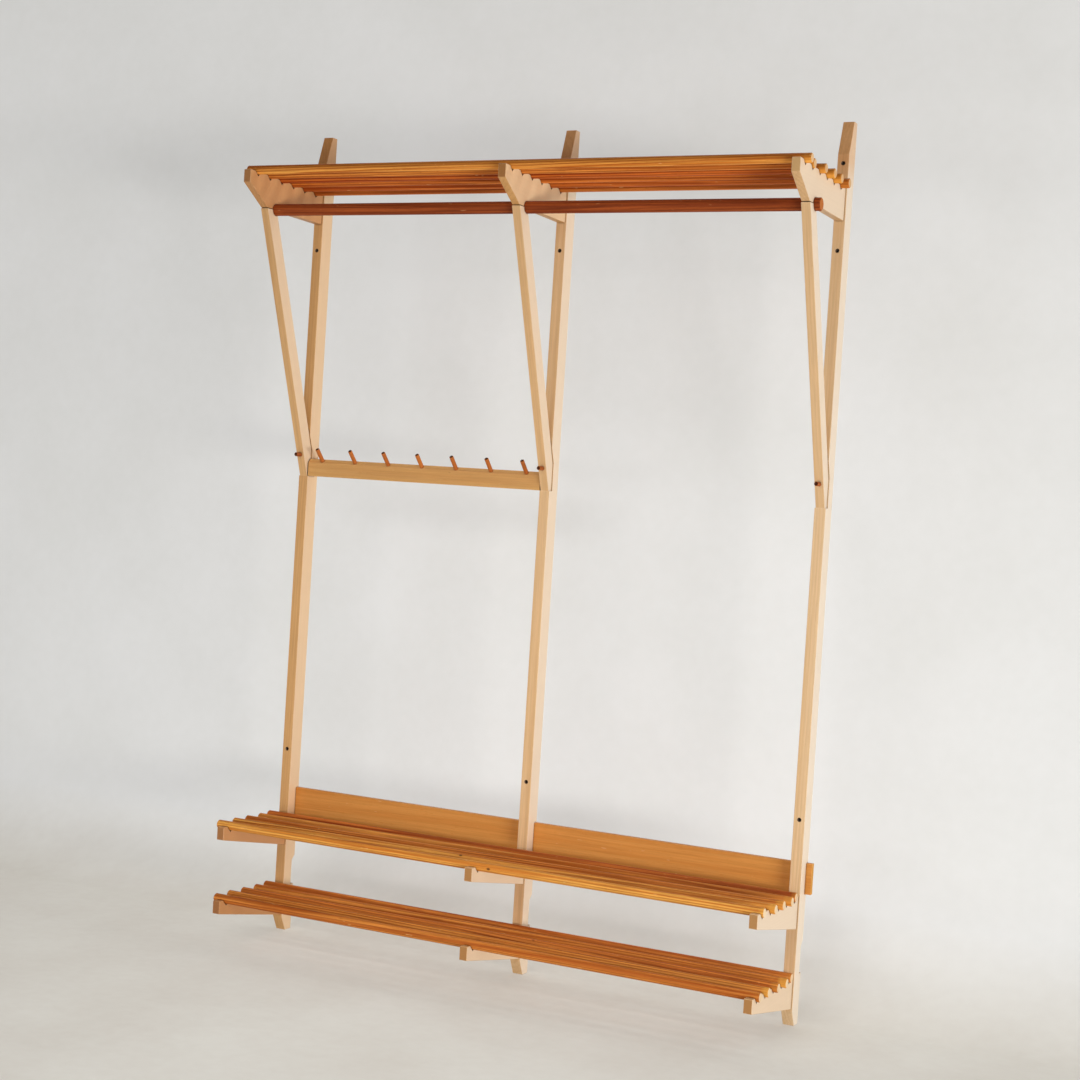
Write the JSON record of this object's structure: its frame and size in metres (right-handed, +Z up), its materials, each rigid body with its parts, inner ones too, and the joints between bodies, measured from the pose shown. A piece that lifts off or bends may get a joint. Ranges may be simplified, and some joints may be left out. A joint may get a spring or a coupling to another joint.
{
  "type": "coat and shoe rack",
  "caption": "Wall-fixed wooden hall rack: uprights with a slatted hat shelf on braced brackets, a clothes rail, a rail of slanted coat pegs and slatted shoe shelves",
  "frame": {"origin": "on the wall plane at floor level, at the foot of the middle upright's back face", "axes": "X along the wall to the right seen from the front, +Y into the wall so the front faces -Y, Z up"},
  "size_m": [1.405, 0.358, 2],
  "materials": {
    "frame_wood": "pale birch, planed, clear satin lacquer yellowed with age",
    "rod_wood": "turned softwood dowel with long streaky grain, warm orange-brown lacquer",
    "rail_wood": "thick turned rod, red-brown lacquer",
    "board_wood": "planed board, amber lacquer",
    "peg_wood": "turned dowel, orange-brown lacquer",
    "dowel_wood": "plain hardwood dowel, glued",
    "screw_steel": "plain countersunk wood screw"
  },
  "bodies": {
    "root": {"upright_left": "frame_wood", "hat_bracket_left": "frame_wood", "strut_left": "frame_wood", "upper_shoe_bracket_left": "frame_wood", "lower_shoe_bracket_left": "frame_wood", "upright_middle": "frame_wood", "hat_bracket_middle": "frame_wood", "strut_middle": "frame_wood", "upper_shoe_bracket_middle": "frame_wood", "lower_shoe_bracket_middle": "frame_wood", "upright_right": "frame_wood", "hat_bracket_right": "frame_wood", "strut_right": "frame_wood", "upper_shoe_bracket_right": "frame_wood", "lower_shoe_bracket_right": "frame_wood", "hat_rod_1": "rod_wood", "hat_rod_2": "rod_wood", "hat_rod_3": "rod_wood", "hat_rod_4": "rod_wood", "hat_rod_5": "rod_wood", "hat_rod_6": "rod_wood", "upper_shoe_rod_1": "rod_wood", "upper_shoe_rod_2": "rod_wood", "upper_shoe_rod_3": "rod_wood", "upper_shoe_rod_4": "rod_wood", "upper_shoe_rod_5": "rod_wood", "lower_shoe_rod_1": "rod_wood", "lower_shoe_rod_2": "rod_wood", "lower_shoe_rod_3": "rod_wood", "lower_shoe_rod_4": "rod_wood", "lower_shoe_rod_5": "rod_wood", "clothes_rail": "rail_wood", "peg_rail": "board_wood", "rail_peg_1": "peg_wood", "rail_peg_2": "peg_wood", "rail_peg_3": "peg_wood", "rail_peg_4": "peg_wood", "rail_peg_5": "peg_wood", "rail_peg_6": "peg_wood", "rail_peg_7": "peg_wood", "strut_peg_left": "peg_wood", "strut_peg_middle": "peg_wood", "strut_peg_right": "peg_wood", "back_board": "board_wood", "hat_bracket_dowels": "dowel_wood", "upper_shoe_bracket_dowels": "dowel_wood", "lower_shoe_bracket_dowels": "dowel_wood", "strut_dowels": "dowel_wood", "peg_rail_dowels": "dowel_wood", "board_screws": "screw_steel"}
  },
  "joints": []
}
